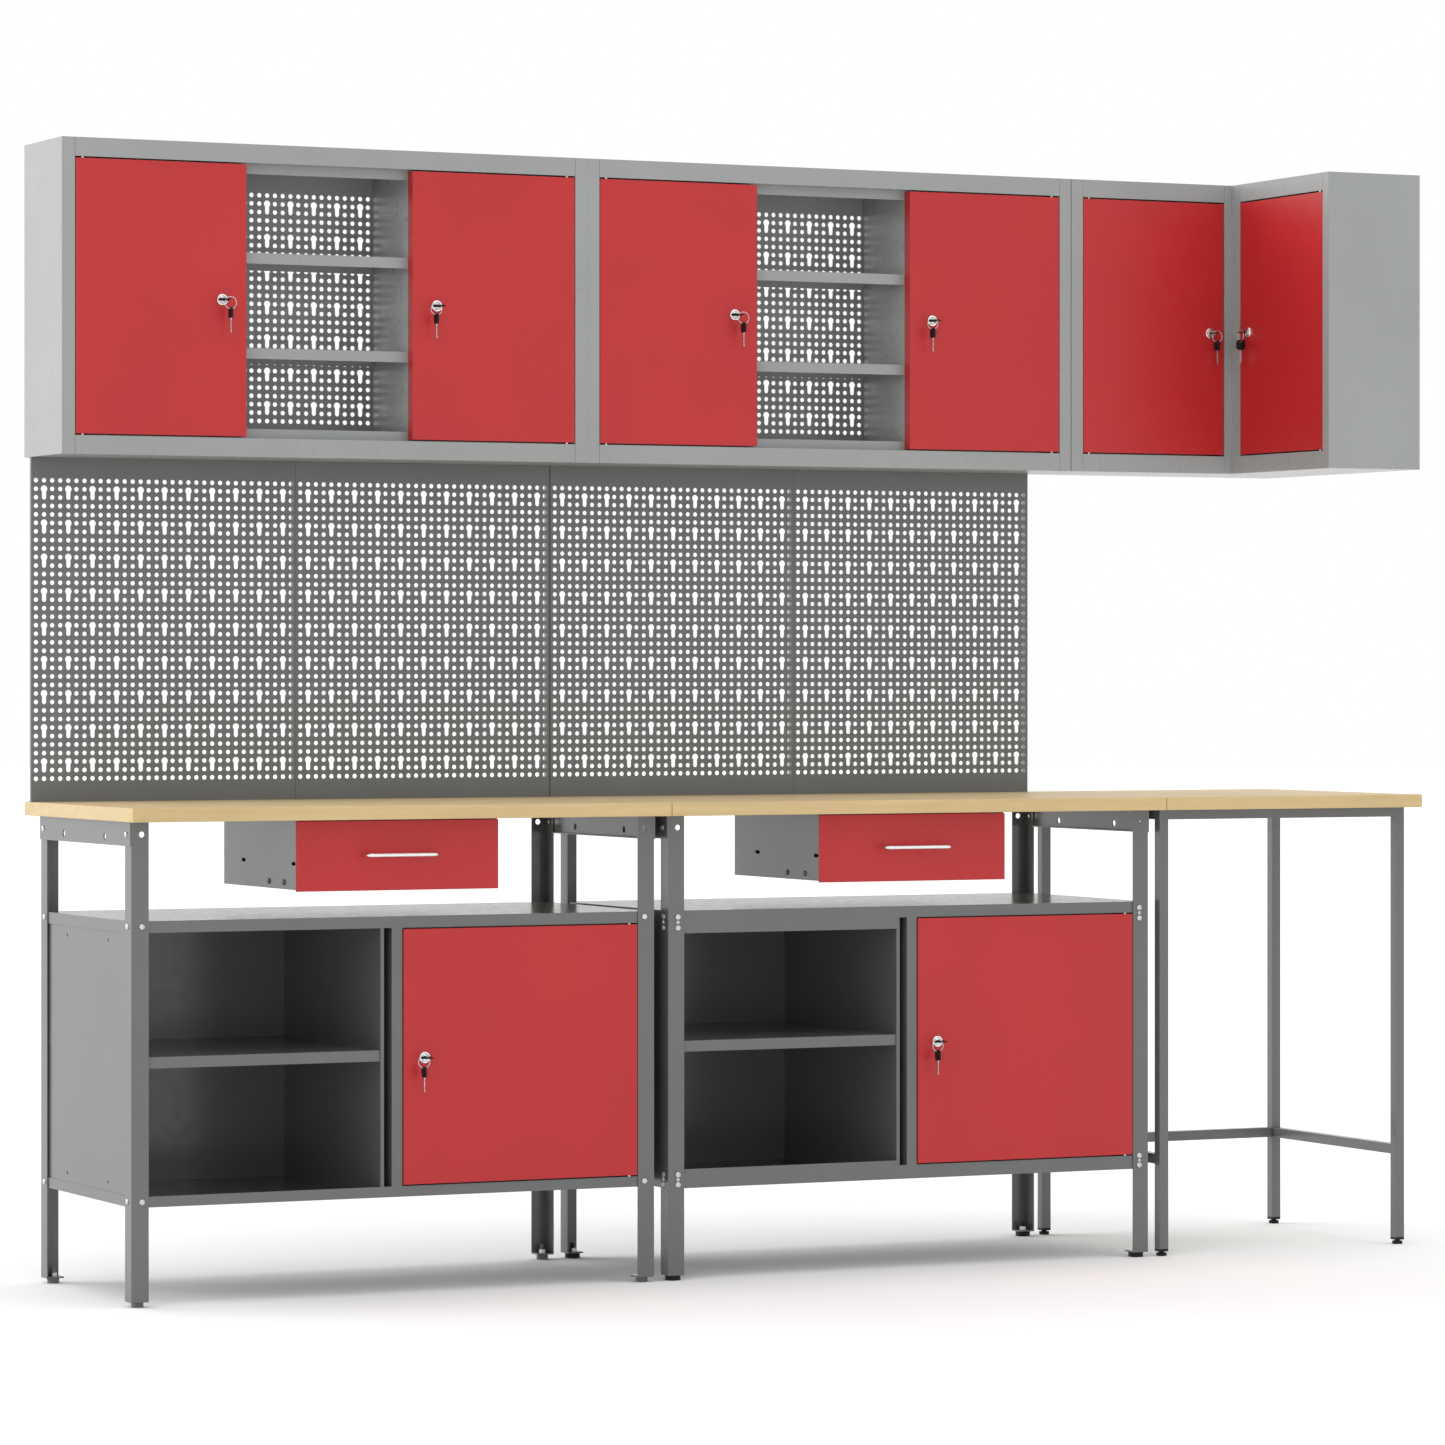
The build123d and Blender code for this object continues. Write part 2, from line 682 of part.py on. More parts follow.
def square_tube(x0, x1, y0, y1, z0, z1, along):
    """Square tube between two corners, hollow along one axis ('x', 'y' or 'z')."""
    wall = {"x": (0, tube_wall, tube_wall), "y": (tube_wall, 0, tube_wall), "z": (tube_wall, tube_wall, 0)}[along]
    core = block(x0 + wall[0], x1 - wall[0], y0 + wall[1], y1 - wall[1], z0 + wall[2], z1 - wall[2])
    return block(x0, x1, y0, y1, z0, z1) - core


def corner_leg_places():
    """Left and rear-most edges of the corner table's four legs, from front to rear."""
    left = corner_x + tube_inset
    right = right_x - tube_inset - tube
    rear = frame_rear - tube
    return [(left, frame_front), (right, frame_front), (left, rear), (right, rear)]


def corner_table_legs():
    """Four square tube legs."""
    legs = []
    for x, y in corner_leg_places():
        legs.append(square_tube(x, x + tube, y, y + tube, tube_bottom, underside, "z"))
    return legs


def corner_table_rails():
    """Four rails under the worktop and three stretchers near the floor."""
    (left, front), (right, _), (_, rear), _ = corner_leg_places()
    top = underside - tube
    low_top = stretcher_low + tube
    rails = []
    for y in (front, rear):
        rails.append(square_tube(left + tube, right, y, y + tube, top, underside, "x"))
    for x in (left, right):
        rails.append(square_tube(x, x + tube, front + tube, rear, top, underside, "y"))
        rails.append(square_tube(x, x + tube, front + tube, rear, stretcher_low, low_top, "y"))
    rails.append(square_tube(left + tube, right, rear, rear + tube, stretcher_low, low_top, "x"))
    return rails


def tube_plugs():
    """Plastic plugs in the lower ends of the tube legs."""
    plugs = []
    core = tube - 2 * tube_wall - plug_play
    for x, y in corner_leg_places():
        middle_x = x + tube / 2
        middle_y = y + tube / 2
        cap = block(x, x + tube, y, y + tube, tube_bottom - plug_cap, tube_bottom)
        insert = block(middle_x - core / 2, middle_x + core / 2, middle_y - core / 2, middle_y + core / 2,
                       tube_bottom, tube_bottom + plug_insert)
        plug = cap + insert
        plugs.append(plug - rod_z(middle_x, middle_y, 0, 60, stud_radius + running_clearance))
    return plugs


def corner_posts():
    """Two folded posts at the inner corner, each with a stop strip for its door."""
    x = corner_front_x
    inner_x = corner_x + corner_door_right + door_gap
    back = wall_front + stop_y
    low = wall_low + sheet
    high = wall_high - sheet
    front_post = block(inner_x, x, wall_front, wall_front + sheet, wall_low, wall_high)
    front_post += block(inner_x, inner_x + sheet, wall_front, back + sheet, low, high)
    front_strip = block(inner_x - corner_stop, inner_x, back, back + sheet, stop_low, stop_high)
    inner_y = arm_door_high_y + door_gap
    arm_back = x + stop_y
    arm_post = block(x, x + sheet, inner_y, wall_front + sheet, wall_low, wall_high)
    arm_post += block(x, arm_back + sheet, inner_y, inner_y + sheet, low, high)
    arm_strip = block(arm_back, arm_back + sheet, inner_y - corner_stop, inner_y, stop_low, stop_high)
    return [front_post, front_strip, arm_post, arm_strip]


def arm_rails():
    """Rail members over and under the arm's door, which faces left."""
    x = corner_front_x
    y0 = arm_door_low_y - door_gap
    y1 = arm_door_high_y + door_gap
    turn = Pos(x, 0, 0) * Rot(0, 0, -90)
    return [turn * member for member in wall_rails(-y1 + seam, -y0 - seam, 0)]


def corner_wall_cabinet():
    """L-shaped wall cabinet in the corner, built from flat and folded panels."""
    x = corner_x + cabinet_gap
    front_x = corner_front_x
    inner_low = wall_low + sheet
    inner_high = wall_high - sheet
    left = block(x, x + sheet, wall_front, rear_y, wall_low, wall_high)
    stile_inner = corner_x + corner_door_left - door_gap
    left += block(x, stile_inner, wall_front, wall_front + sheet, wall_low, wall_high)
    left += block(stile_inner - sheet, stile_inner, wall_front, wall_front + stile_return, inner_low, inner_high)
    back = block(x + sheet, right_x, rear_y - sheet, rear_y, wall_low, wall_high)
    for fixing in corner_fixings:
        back -= rod_y(corner_x + fixing, rear_y - 5, rear_y + 5, wall_high - fixing_drop, fixing_radius)
    right = block(right_x - sheet, right_x, corner_end_y, rear_y - sheet, wall_low, wall_high)
    end = block(front_x, right_x - sheet, corner_end_y, corner_end_y + sheet, wall_low, wall_high)
    end_stile_y = arm_door_low_y - door_gap
    end += block(front_x, front_x + sheet, corner_end_y, end_stile_y, wall_low, wall_high)
    end += block(front_x, front_x + stile_return, end_stile_y - sheet, end_stile_y, inner_low, inner_high)
    pieces = [left, back, right, end]
    pieces += corner_posts()
    pieces += wall_rails(stile_inner + seam, corner_x + corner_door_right + door_gap - seam, wall_front)
    pieces += arm_rails()
    for low, high in ((wall_low, inner_low), (inner_high, wall_high)):
        pieces.append(block(x + sheet, front_x, wall_front + sheet, rear_y - sheet, low, high))
        arm = block(front_x + sheet, right_x - sheet, corner_end_y + sheet, rear_y - sheet, low, high)
        arm += block(front_x, front_x + sheet, wall_front + sheet, rear_y - sheet, low, high)
        pieces.append(arm)
    return pieces


os.makedirs("parts", exist_ok=True)

benches = {
    "left": {"x": left_bench_x, "low": 184, "bolts": (701, 194.5), "rail": 689, "sill": 204, "pad": 11.5},
    "middle": {"x": middle_bench_x, "low": 177, "bolts": (699, 688.5, 678, 203.5, 194, 184.5), "rail": 667,
               "sill": 213.5, "pad": 15},
}

board_ends = [left_bench_x, middle_bench_x, corner_x, right_x]
boards = []
for x0, x1 in zip(board_ends, board_ends[1:]):
    start = x0 + (board_gap / 2 if x0 > left_bench_x else 0)
    end = x1 - (board_gap / 2 if x1 < right_x else 0)
    boards.append(worktop(start, end))
save("worktops", boards)

legs = []
rails = []
fasteners = []
housings = []
base_shelves = []
wall_shelves = []
panels = []
bay_backs = []
pins = []
for name, bench in benches.items():
    bench_x = bench["x"]
    legs += [bench_leg(*corner, bench["bolts"]) for corner in bench_corners(bench_x)]
    rails += [side_rail(bench_x, -1), side_rail(bench_x, 1)]
    fasteners += frame_fasteners(bench_x, bench["bolts"])
    housings += drawer_housing(bench_x)
    base_shelves.append(base_shelf(bench_x))
    wall_shelves += bay_shelves(bench_x)
    panels.append(perforated_panel(bench_x + panel_margin))
    panels.append(perforated_panel(bench_x + panel_margin + panel_width + panel_gap))
    bay_backs.append(bay_back(bench_x))
    cabinet = base_cabinet(bench_x, bench["low"], bench["bolts"], bench["rail"], bench["sill"])
    save(f"{name}_base_cabinet", cabinet)
    save(f"{name}_wall_cabinet", wall_cabinet(bench_x))
    save(f"{name}_drawer_box", drawer_box(bench_x))
    save(f"{name}_drawer_front", [drawer_front(bench_x)])
    save(f"{name}_drawer_handle", [drawer_handle(bench_x)])
    for number, (x, y, into_x, into_y) in enumerate(bench_corners(bench_x), 1):
        foot = levelling_foot(x + into_x * foot_offset, y + into_y * foot_offset, bench["pad"],
                              leg_bottom, leg_bottom, stud_top)
        save(f"{name}_bench_foot_{number}", [foot])

    # Base door, hinged at its right edge
    pin_x = base_door_right - hinge_inset
    lock_x = base_door_left + base_lock_inset
    at_bench = Pos(bench_x, frame_front, 0)
    save(f"{name}_base_door", placed(at_bench, door(base_door_left, base_door_right, base_door_low,
                                                    base_door_high, pin_x, lock_x, base_lock_z)))
    at_lock = Pos(bench_x + lock_x, frame_front, base_lock_z)
    save(f"{name}_base_lock", placed(at_lock, lock_body(-1)))
    save(f"{name}_base_key", placed(at_lock, lock_plug()))
    pin_low = base_door_low - 2.5
    pin_high = base_door_high + 2.5
    pins += hinge_pins(bench_x + pin_x, frame_front + hinge_depth, pin_low, pin_high)
    pins += base_hinge_plates(bench_x + pin_x, frame_front + hinge_depth, pin_low, pin_high)

    # Wall doors, hinged at the cabinet's outer ends
    left_start = wall_door_start
    right_start = bench_width - wall_door_start - wall_door_width
    doors = {
        "left": (left_start, left_start + hinge_inset, left_start + wall_door_width - wall_lock_inset, 1),
        "right": (right_start, right_start + wall_door_width - hinge_inset, right_start + wall_lock_inset, -1),
    }
    at_cabinet = Pos(bench_x, wall_front + door_face, 0)
    for side, (start, pin_x, lock_x, inward) in doors.items():
        leaf = door(start, start + wall_door_width, wall_door_low, wall_door_high, pin_x, lock_x, wall_lock_z)
        save(f"{name}_wall_door_{side}", placed(at_cabinet, leaf))
        at_lock = Pos(bench_x + lock_x, wall_front + door_face, wall_lock_z)
        save(f"{name}_wall_lock_{side}", placed(at_lock, lock_body(inward)))
        save(f"{name}_wall_key_{side}", placed(at_lock, lock_plug()))
        pins += hinge_pins(bench_x + pin_x, wall_front + door_face + hinge_depth, wall_low + rail_width,
                           wall_high - rail_width)

# Corner wall cabinet doors: one faces the front, the other faces left
save("corner_wall_cabinet", corner_wall_cabinet())
front_pin = corner_door_left + hinge_inset
front_lock = corner_door_right - corner_lock_inset
at_cabinet = Pos(corner_x, wall_front + door_face, 0)
leaf = door(corner_door_left, corner_door_right, wall_door_low, wall_door_high, front_pin, front_lock,
            corner_lock_z)
save("corner_wall_door_front", placed(at_cabinet, leaf))
at_lock = Pos(corner_x + front_lock, wall_front + door_face, corner_lock_z)
save("corner_wall_lock_front", placed(at_lock, lock_body(1, corner_ring_stand)))
save("corner_wall_key_front", placed(at_lock, lock_plug(corner_ring_stand, corner_key_end)))
pins += hinge_pins(corner_x + front_pin, wall_front + door_face + hinge_depth, wall_low + rail_width,
                   wall_high - rail_width)

arm_start = -arm_door_high_y
arm_end = -arm_door_low_y
arm_pin = arm_end - hinge_inset
arm_lock = arm_start + corner_lock_inset
at_arm = Pos(corner_front_x + door_face, 0, 0) * Rot(0, 0, -90)
leaf = door(arm_start, arm_end, wall_door_low, wall_door_high, arm_pin, arm_lock, corner_lock_z)
save("corner_wall_door_arm", placed(at_arm, leaf))
at_lock = at_arm * Pos(arm_lock, 0, corner_lock_z)
save("corner_wall_lock_arm", placed(at_lock, lock_body(-1, corner_ring_stand)))
save("corner_wall_key_arm", placed(at_lock, lock_plug(corner_ring_stand, corner_key_end)))
pins += hinge_pins(corner_front_x + door_face + hinge_depth, -arm_pin, wall_low + rail_width,
                   wall_high - rail_width)

save("bench_legs", legs)
save("bench_side_rails", rails)
save("bolts_and_screws", fasteners)
save("drawer_housings", housings)
save("base_cabinet_shelves", base_shelves)
save("wall_cabinet_shelves", wall_shelves)
save("perforated_panels", panels)
save("wall_cabinet_backs", bay_backs)
save("hinge_pins", pins)
save("corner_table_legs", corner_table_legs())
save("corner_table_rails", corner_table_rails())
save("tube_plugs", tube_plugs())
for number, (x, y) in enumerate(corner_leg_places(), 1):
    foot = levelling_foot(x + tube / 2, y + tube / 2, corner_pad_radius, corner_pad_height,
                          tube_bottom - plug_cap, corner_stud_top)
    save(f"corner_table_foot_{number}", [foot])
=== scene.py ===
import json
import math

import bmesh
import bpy
from mathutils import Matrix, Vector
from mathutils.geometry import tessellate_polygon

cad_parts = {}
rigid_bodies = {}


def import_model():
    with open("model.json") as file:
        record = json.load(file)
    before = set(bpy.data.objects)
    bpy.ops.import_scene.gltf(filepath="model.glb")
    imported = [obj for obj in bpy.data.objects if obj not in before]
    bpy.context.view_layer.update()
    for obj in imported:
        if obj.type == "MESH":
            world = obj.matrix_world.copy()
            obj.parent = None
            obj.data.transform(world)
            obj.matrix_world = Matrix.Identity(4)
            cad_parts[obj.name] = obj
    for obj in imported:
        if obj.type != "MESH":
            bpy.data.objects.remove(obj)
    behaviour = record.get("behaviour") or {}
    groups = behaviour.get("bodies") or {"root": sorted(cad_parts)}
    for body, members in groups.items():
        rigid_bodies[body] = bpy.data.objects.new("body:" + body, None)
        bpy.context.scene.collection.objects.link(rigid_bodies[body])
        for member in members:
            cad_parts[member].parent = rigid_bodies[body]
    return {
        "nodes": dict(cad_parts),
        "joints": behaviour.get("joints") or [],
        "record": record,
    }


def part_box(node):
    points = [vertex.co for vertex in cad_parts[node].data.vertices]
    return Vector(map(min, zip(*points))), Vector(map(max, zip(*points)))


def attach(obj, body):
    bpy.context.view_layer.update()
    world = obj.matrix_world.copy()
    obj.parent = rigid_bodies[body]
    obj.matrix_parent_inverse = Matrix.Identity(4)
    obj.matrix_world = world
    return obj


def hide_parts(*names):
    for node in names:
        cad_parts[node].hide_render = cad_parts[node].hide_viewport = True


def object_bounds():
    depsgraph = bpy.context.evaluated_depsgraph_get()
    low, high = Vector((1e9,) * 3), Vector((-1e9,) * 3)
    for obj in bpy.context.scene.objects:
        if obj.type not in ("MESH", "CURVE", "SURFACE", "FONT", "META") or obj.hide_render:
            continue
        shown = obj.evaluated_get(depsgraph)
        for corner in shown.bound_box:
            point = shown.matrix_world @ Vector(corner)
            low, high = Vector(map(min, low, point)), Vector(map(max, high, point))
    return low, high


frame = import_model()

# Workshop station, in metres: the CAD frame, with the perforated sheets, the locks and the keys
# modelled in detail around it.

CAD_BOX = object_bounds()

# Perforated sheets
PITCH = 0.01637
HOLE_RADIUS = 0.0046
HOLE_SEGMENTS = 12
KEYHOLE_RADIUS = 0.0068
KEYHOLE_SEGMENTS = 13
KEYHOLE_SLOT = 0.0044
SLOT_SEGMENTS = 7
KEYHOLE_EVERY_COLUMNS = 3
KEYHOLE_EVERY_ROWS = 4
WALL_PANEL_GRID = (33, 36)
BAY_BACK_GRID = (21, 28)
SHEET_STEEL = 0.0015
PANELS_PER_BENCH = 2
BENCHES = 2
PANEL_GAP = 0.0005
FOLD_RIGHT = 0.022
FOLD_LEFT = 0.008
FOLD_ENDS = 0.020
FOLD_EASE = 0.0003

# Locks, from their axis on the door's outer face; depth is positive into the door. The rosette's rim
# lists distances in from its edge and down from its face.
DOOR_THICKNESS = 0.024
ROSETTE_RADIUS = 0.0113
ROSETTE_HEIGHT = 0.0045
ROSETTE_FOOT = 0.0008
ROSETTE_RIM = ((0.0018, 0.0), (0.0009, 0.0003), (0.0003, 0.0011))
MOUTH_WIDTH = 0.0008
MOUTH_DEPTH = 0.0009
BARREL_RADIUS = 0.009
BARREL_TAIL = 0.027
BARREL_CHAMFER = 0.0006
BARREL_LIP = 0.0005
THREAD_STEPS = 18
THREAD_START = 0.0012
THREAD_DEPTH = 0.00045
NUT_RADIUS = 0.0121
NUT_SIDES = 6
NUT_PLAY = 0.0002
NUT_CHAMFER_WIDTH = 0.0007
NUT_CHAMFER_DEPTH = 0.0003
PLUG_RADIUS = 0.0068
PLUG_PLAY = 0.0003
PLUG_PROUD = 0.005
PLUG_CHAMFER = 0.0006
PLUG_RIM_RADIUS = 0.0052
PLUG_FACE_RADIUS = 0.0048
PLUG_RECESS = 0.0005

# Keys and the ring that joins them
KEY_NECK = 0.008
KEY_END = 0.0285
KEY_HOLE_RADIUS = 0.0041
KEY_HOLE_SEGMENTS = 20
HEAD_WIDTH = 0.020
HEAD_CORNER = 0.0055
HEAD_THICKNESS = 0.0018
HEAD_EASE = 0.0006
SHOULDER_THICKNESS = 0.0045
SHOULDER_EASE = 0.0009
HOLE_MARGIN = 0.0023
SPARE_HEAD_THICKNESS = 0.0036
SPARE_HEAD_EASE = 0.0008
SPARE_HOLE_DROP = 0.0196
SPARE_HOLE_EDGE = 0.004
SPARE_HOLE_RADIUS = 0.0024
SPARE_HOLE_SEGMENTS = 16
BLADE_LENGTH = 0.029
BLADE_ROOT = 0.002
BLADE_HALF_WIDTH = 0.0034
BLADE_HALF_THICKNESS = 0.00095
BLADE_EASE = 0.0002
BLADE_INTO_HEAD = 0.001
BLADE_SHORT_OF_PLUG = 0.0003
RING_RADIUS = 0.0116
RING_WIRE = 0.0007
RING_DROP = 0.0068
RING_SHIFT = 0.0094
RING_STAND = 0.0223

# The corner doors' locks are shallower, so that each door clears the other's key
CORNER_RING_STAND = 0.014
CORNER_KEY_END = 0.0235

# Shares of a blade's length, from its tip, and of its half width
TIP_SLOPE = 0.15
TIP_HEIGHT = 0.2
NOSE_LENGTH = 0.04
NOSE_HEIGHT = -0.6
FIRST_CUT = 0.88
CUT_SPAN = 0.8
CUT_SLOPE = 0.06
CUT_END = 0.09
CUT_DEPTHS = (0.25, -0.05, 0.35, 0.1, 0.4)

# Cams behind the doors; the screw's profile lists radii and heights above the cam
CAM_REACH = 0.035
CAM_START = 0.028
CAM_END = 0.031
CAM_HALF_WIDTH = 0.007
CAM_SEGMENTS = 13
CAM_EASE = 0.0003
CAM_SCREW = ((0, 0), (0.004, 0), (0.004, 0.0016), (0.0028, 0.0025), (0.0016, 0.0025), (0.0014, 0.0015),
             (0, 0.0015))
CAM_SCREW_SEGMENTS = 24

# Angles in degrees: faces that meet below the first are shaded smooth, above the second they are eased
SMOOTH_ANGLE = 35
SHARP_ANGLE = 50

# Linear colours; a pair is the darkest and the palest of a pattern
GREY_PAINT = (0.117, 0.123, 0.123)
LIGHT_GREY_PAINT = (0.307, 0.32, 0.317)
RED_PAINT = (0.465, 0.019, 0.021)
BLACK_PLASTIC = (0.008, 0.008, 0.0085)
GREY_PLASTIC = (0.15, 0.15, 0.155)
BOARD_TONES = ((0.56, 0.41, 0.195), (0.64, 0.475, 0.24))
FIBRE_TONES = ((0.86, 0.84, 0.8), (1, 1, 1))
ZINC_TONES = ((0.56, 0.57, 0.58), (0.74, 0.75, 0.76))
CHROME_TONES = ((0.78, 0.79, 0.81), (0.86, 0.87, 0.88))
FLOOR_TONES = ((0.87, 0.87, 0.87), (0.91, 0.91, 0.91))

# Most of a noise's values lie between these
NOISE_LOW = 0.3
NOISE_HIGH = 0.7

# Stage: the suns' directions of travel, strengths, and spreads in degrees
FLOOR_RINGS = (2, 4, 8, 16, 60)
FLOOR_SEGMENTS = 64
SUNS = {
    "from_left": ((0.8, -0.6, -0.35), 0.95, 40),
    "from_back": ((0.6, -0.8, -0.15), 0.45, 60),
    "from_above": ((0.05, 0.1, -1.0), 0.7, 50),
}

# Camera: sensor and lens in millimetres, place from the middle of the row, turn in degrees
SENSOR_WIDTH = 36
LENS = 143.27
LENS_SHIFT = -0.03552
CAMERA_PLACE = (-4.986, -10.241, 1.171)
CAMERA_TURN = -25.75
FARTHEST_SEEN = 200


# ---------------------------------------------------------------- materials

def shader_material(name, roughness, metallic=0.0, specular=0.5):
    """A new material with one Principled shader."""
    material = bpy.data.materials.new(name)
    material.use_nodes = True
    tree = material.node_tree
    tree.nodes.clear()
    output = tree.nodes.new("ShaderNodeOutputMaterial")
    shader = tree.nodes.new("ShaderNodeBsdfPrincipled")
    shader.inputs["Roughness"].default_value = roughness
    shader.inputs["Metallic"].default_value = metallic
    shader.inputs["Specular IOR Level"].default_value = specular
    tree.links.new(shader.outputs["BSDF"], output.inputs["Surface"])
    return material, tree, shader


def noise(tree, scale, detail, stretch=(1, 1, 1)):
    """Noise over the object's own space, stretched along the axes."""
    coordinates = tree.nodes.new("ShaderNodeTexCoord")
    mapping = tree.nodes.new("ShaderNodeMapping")
    mapping.inputs["Scale"].default_value = stretch
    texture = tree.nodes.new("ShaderNodeTexNoise")
    texture.inputs["Scale"].default_value = scale
    texture.inputs["Detail"].default_value = detail
    tree.links.new(coordinates.outputs["Object"], mapping.inputs["Vector"])
    tree.links.new(mapping.outputs["Vector"], texture.inputs["Vector"])
    return texture.outputs["Fac"]


def blend_colours(tree, factor, low, high):
    """A colour ramp from low to high over the middle of the factor's range."""
    ramp = tree.nodes.new("ShaderNodeValToRGB")
    ramp.color_ramp.elements[0].position = NOISE_LOW
    ramp.color_ramp.elements[1].position = NOISE_HIGH
    ramp.color_ramp.elements[0].color = (*low, 1)
    ramp.color_ramp.elements[1].color = (*high, 1)
    tree.links.new(factor, ramp.inputs["Fac"])
    return ramp.outputs["Color"]


def spread_value(tree, factor, low, high):
    """The middle of the factor's range mapped to low..high."""
    remap = tree.nodes.new("ShaderNodeMapRange")
    remap.inputs["From Min"].default_value = NOISE_LOW
    remap.inputs["From Max"].default_value = NOISE_HIGH
    remap.inputs["To Min"].default_value = low
    remap.inputs["To Max"].default_value = high
    tree.links.new(factor, remap.inputs["Value"])
    return remap.outputs["Result"]


def bump(tree, shader, height, strength, distance, edge_radius):
    """Bump from a height, over edges that look rounded by edge_radius."""
    node = tree.nodes.new("ShaderNodeBump")
    node.inputs["Strength"].default_value = strength
    node.inputs["Distance"].default_value = distance
    tree.links.new(height, node.inputs["Height"])
    edge = tree.nodes.new("ShaderNodeBevel")
    edge.samples = 4
    edge.inputs["Radius"].default_value = edge_radius
    tree.links.new(edge.outputs["Normal"], node.inputs["Normal"])
    tree.links.new(node.outputs["Normal"], shader.inputs["Normal"])


def shade(colour, factor):
    """The colour scaled by a factor."""
    return tuple(channel * factor for channel in colour)


def powder_coat(name, colour, roughness, gloss):
    """Powder-coated steel: fine orange peel, faint cloudiness and softened edges."""
    material, tree, shader = shader_material(name, roughness, specular=gloss)
    clouds = noise(tree, scale=3.5, detail=4)
    paint = blend_colours(tree, clouds, shade(colour, 0.955), shade(colour, 1.045))
    tree.links.new(paint, shader.inputs["Base Color"])
    flow = noise(tree, scale=45, detail=3)
    tree.links.new(spread_value(tree, flow, roughness - 0.04, roughness + 0.05), shader.inputs["Roughness"])
    peel = noise(tree, scale=240, detail=1)
    bump(tree, shader, peel, strength=0.02, distance=0.0002, edge_radius=0.0009)
    return material


def laminate(name):
    """Tan laminated board with a fine lengthwise grain."""
    material, tree, shader = shader_material(name, roughness=0.42)
    grain = noise(tree, scale=38, detail=5, stretch=(0.12, 1.0, 1.6))
    fibres = noise(tree, scale=420, detail=2, stretch=(0.06, 1.0, 1.0))
    mix = tree.nodes.new("ShaderNodeMix")
    mix.data_type = "RGBA"
    mix.blend_type = "MULTIPLY"
    mix.inputs["Factor"].default_value = 0.35
    tree.links.new(blend_colours(tree, grain, *BOARD_TONES), mix.inputs["A"])
    tree.links.new(blend_colours(tree, fibres, *FIBRE_TONES), mix.inputs["B"])
    tree.links.new(mix.outputs["Result"], shader.inputs["Base Color"])
    tree.links.new(spread_value(tree, grain, 0.38, 0.5), shader.inputs["Roughness"])
    bump(tree, shader, fibres, strength=0.15, distance=0.0003, edge_radius=0.001)
    return material


def plated_steel(name):
    """Zinc-plated steel with a faint spangle and rolled streaks."""
    material, tree, shader = shader_material(name, roughness=0.34, metallic=1.0)
    spangle = noise(tree, scale=160, detail=3)
    streaks = noise(tree, scale=300, detail=2, stretch=(1, 1, 0.08))
    tree.links.new(blend_colours(tree, spangle, *ZINC_TONES), shader.inputs["Base Color"])
    tree.links.new(spread_value(tree, streaks, 0.26, 0.42), shader.inputs["Roughness"])
    bump(tree, shader, streaks, strength=0.1, distance=0.0002, edge_radius=0.0003)
    return material


def chrome(name):
    """Polished chrome with faint haze."""
    material, tree, shader = shader_material(name, roughness=0.1, metallic=1.0)
    haze = noise(tree, scale=70, detail=3)
    tree.links.new(blend_colours(tree, haze, *CHROME_TONES), shader.inputs["Base Color"])
    tree.links.new(spread_value(tree, haze, 0.07, 0.15), shader.inputs["Roughness"])
    polish = noise(tree, scale=500, detail=2)
    bump(tree, shader, polish, strength=0.03, distance=0.0002, edge_radius=0.0003)
    return material


def moulded_plastic(name, colour):
    """Moulded plastic with a fine matt texture."""
    material, tree, shader = shader_material(name, roughness=0.5, specular=0.25)
    mottle = noise(tree, scale=60, detail=3)
    tint = blend_colours(tree, mottle, shade(colour, 0.85), shade(colour, 1.15))
    tree.links.new(tint, shader.inputs["Base Color"])
    wear = noise(tree, scale=300, detail=2)
    tree.links.new(spread_value(tree, wear, 0.42, 0.58), shader.inputs["Roughness"])
    texture = noise(tree, scale=1400, detail=2)
    bump(tree, shader, texture, strength=0.2, distance=0.0002, edge_radius=0.0004)
    return material


def floor_material():
    """Pale matt studio floor with a barely visible mottle."""
    material, tree, shader = shader_material("studio_floor", roughness=0.9, specular=0.0)
    mottle = noise(tree, scale=0.8, detail=3)
    tree.links.new(blend_colours(tree, mottle, *FLOOR_TONES), shader.inputs["Base Color"])
    return material


SLOTS = {
    "laminate_tan": laminate("laminate_tan"),
    "paint_grey": powder_coat("paint_grey", GREY_PAINT, roughness=0.2, gloss=0.65),
    "paint_light_grey": powder_coat("paint_light_grey", LIGHT_GREY_PAINT, roughness=0.3, gloss=0.35),
    "paint_red": powder_coat("paint_red", RED_PAINT, roughness=0.35, gloss=0.4),
    "zinc_steel": plated_steel("zinc_steel"),
    "chrome_plate": chrome("chrome_plate"),
    "black_plastic": moulded_plastic("black_plastic", BLACK_PLASTIC),
    "grey_plastic": moulded_plastic("grey_plastic", GREY_PLASTIC),
}


def paint_cad_nodes():
    """Give every CAD node the material of its slot in the record."""
    for part in frame["record"]["subparts"]:
        node = frame["nodes"][part["node"]]
        node.data.materials.clear()
        node.data.materials.append(SLOTS[part["material_slot"]])


# ---------------------------------------------------------------- mesh tools

